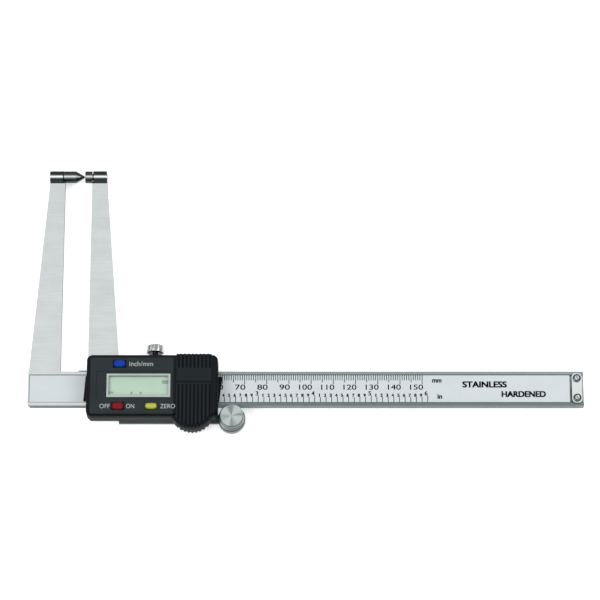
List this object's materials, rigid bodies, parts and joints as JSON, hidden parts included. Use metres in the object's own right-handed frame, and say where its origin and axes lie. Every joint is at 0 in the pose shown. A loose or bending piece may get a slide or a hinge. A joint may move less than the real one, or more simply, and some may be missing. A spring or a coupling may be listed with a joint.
{
  "type": "digital caliper",
  "caption": "Digital caliper with long tapered jaws, a cone point facing a flat anvil, and a sliding display head with thumb roller and lock screw, for measuring brake discs.",
  "frame": {"origin": "middle of the bottom of the bounding box; the slider's back plate lies on Z = 0", "axes": "+X along the beam, away from the fixed jaw; +Y towards the jaw tips; +Z out of the display"},
  "size_m": [0.2502, 0.1262, 0.0158],
  "materials": {
    "beam": "ground and brushed along the beam",
    "scale_electrodes": "printed circuit board",
    "scale_strip": "satin foil with printed scales",
    "fixed_point": "turned hard steel",
    "end_stop_plate": "satin",
    "end_stop_screws": "plated",
    "slider_frame": "ground and brushed",
    "movable_anvil": "turned hard steel",
    "gib_strip": "machined",
    "gib_screws": "dark",
    "left_wiper": "felt-like",
    "right_wiper": "felt-like",
    "back_plate": "black satin",
    "back_plate_screws": "plated",
    "roller_axle": "ground",
    "roller_washer": "plain",
    "reader_plate": "printed circuit board",
    "circuit_board": "printed circuit board",
    "chip_blob": "epoxy",
    "button_switches": "switch cans",
    "negative_contact": "plated spring",
    "positive_contact": "plated spring",
    "coin_cell": "plated can",
    "data_port_socket": "moulded",
    "zebra_strips": "silicone",
    "lcd_glass": "pale green liquid-crystal cell",
    "front_cover": "charcoal moulded, glossy bevel",
    "cover_screws": "plated",
    "display_frame": "pale satin",
    "display_window": "clear",
    "thumb_roller": "turned and polished",
    "lock_pad": "machined",
    "lock_screw": "knurled and plated",
    "unit_button": "blue moulded",
    "power_button": "red moulded",
    "zero_button": "yellow moulded",
    "battery_cover": "charcoal ribbed moulding",
    "port_cover": "charcoal ribbed moulding"
  },
  "bodies": {
    "beam_body": {"beam": "beam", "scale_electrodes": "scale_electrodes", "scale_strip": "scale_strip", "fixed_point": "fixed_point", "end_stop_plate": "end_stop_plate", "end_stop_screws": "end_stop_screws"},
    "slider": {"slider_frame": "slider_frame", "movable_anvil": "movable_anvil", "gib_strip": "gib_strip", "gib_screws": "gib_screws", "left_wiper": "left_wiper", "right_wiper": "right_wiper", "back_plate": "back_plate", "back_plate_screws": "back_plate_screws", "roller_axle": "roller_axle", "roller_washer": "roller_washer", "reader_plate": "reader_plate", "circuit_board": "circuit_board", "chip_blob": "chip_blob", "button_switches": "button_switches", "negative_contact": "negative_contact", "positive_contact": "positive_contact", "coin_cell": "coin_cell", "data_port_socket": "data_port_socket", "zebra_strips": "zebra_strips", "lcd_glass": "lcd_glass", "front_cover": "front_cover", "cover_screws": "cover_screws", "display_frame": "display_frame", "display_window": "display_window"},
    "roller": {"thumb_roller": "thumb_roller"},
    "lock_pad_body": {"lock_pad": "lock_pad"},
    "lock_screw_body": {"lock_screw": "lock_screw"},
    "unit_button_body": {"unit_button": "unit_button"},
    "power_button_body": {"power_button": "power_button"},
    "zero_button_body": {"zero_button": "zero_button"},
    "battery_cover_body": {"battery_cover": "battery_cover"},
    "port_cover_body": {"port_cover": "port_cover"}
  },
  "joints": [
    {"name": "slider_slide", "type": "slide", "parent": "beam_body", "child": "slider", "axis": [1, 0, 0], "range_m": [0, 0.15]},
    {"name": "roller_turn", "type": "hinge", "parent": "slider", "child": "roller", "pos_m": [-0.0332, -0.05668, 0.006], "axis": [0, 0, 1], "range_deg": [0, 1387]},
    {"name": "lock_pad_advance", "type": "slide", "parent": "slider", "child": "lock_pad_body", "axis": [0, -1, 0], "range_m": [0, 0.00015]},
    {"name": "lock_screw_turn", "type": "hinge", "parent": "lock_pad_body", "child": "lock_screw_body", "pos_m": [-0.068, -0.02347, 0.004], "axis": [0, -1, 0], "range_deg": [0, 120]},
    {"name": "unit_button_press", "type": "slide", "parent": "slider", "child": "unit_button_body", "axis": [0, 0, -1], "range_m": [0, 0.0004], "stiffness_N_per_m": 2500},
    {"name": "power_button_press", "type": "slide", "parent": "slider", "child": "power_button_body", "axis": [0, 0, -1], "range_m": [0, 0.0004], "stiffness_N_per_m": 2500},
    {"name": "zero_button_press", "type": "slide", "parent": "slider", "child": "zero_button_body", "axis": [0, 0, -1], "range_m": [0, 0.0004], "stiffness_N_per_m": 2500},
    {"name": "battery_cover_slide", "type": "slide", "parent": "slider", "child": "battery_cover_body", "axis": [0, -1, 0], "range_m": [0, 0.02]},
    {"name": "port_cover_slide", "type": "slide", "parent": "slider", "child": "port_cover_body", "axis": [0, 1, 0], "range_m": [0, 0.014]}
  ],
  "couplings": [
    {"joint": "roller_turn", "follows": "slider_slide", "rad_per_m": 161.29},
    {"joint": "lock_screw_turn", "follows": "lock_pad_advance", "rad_per_m": 13963}
  ]
}
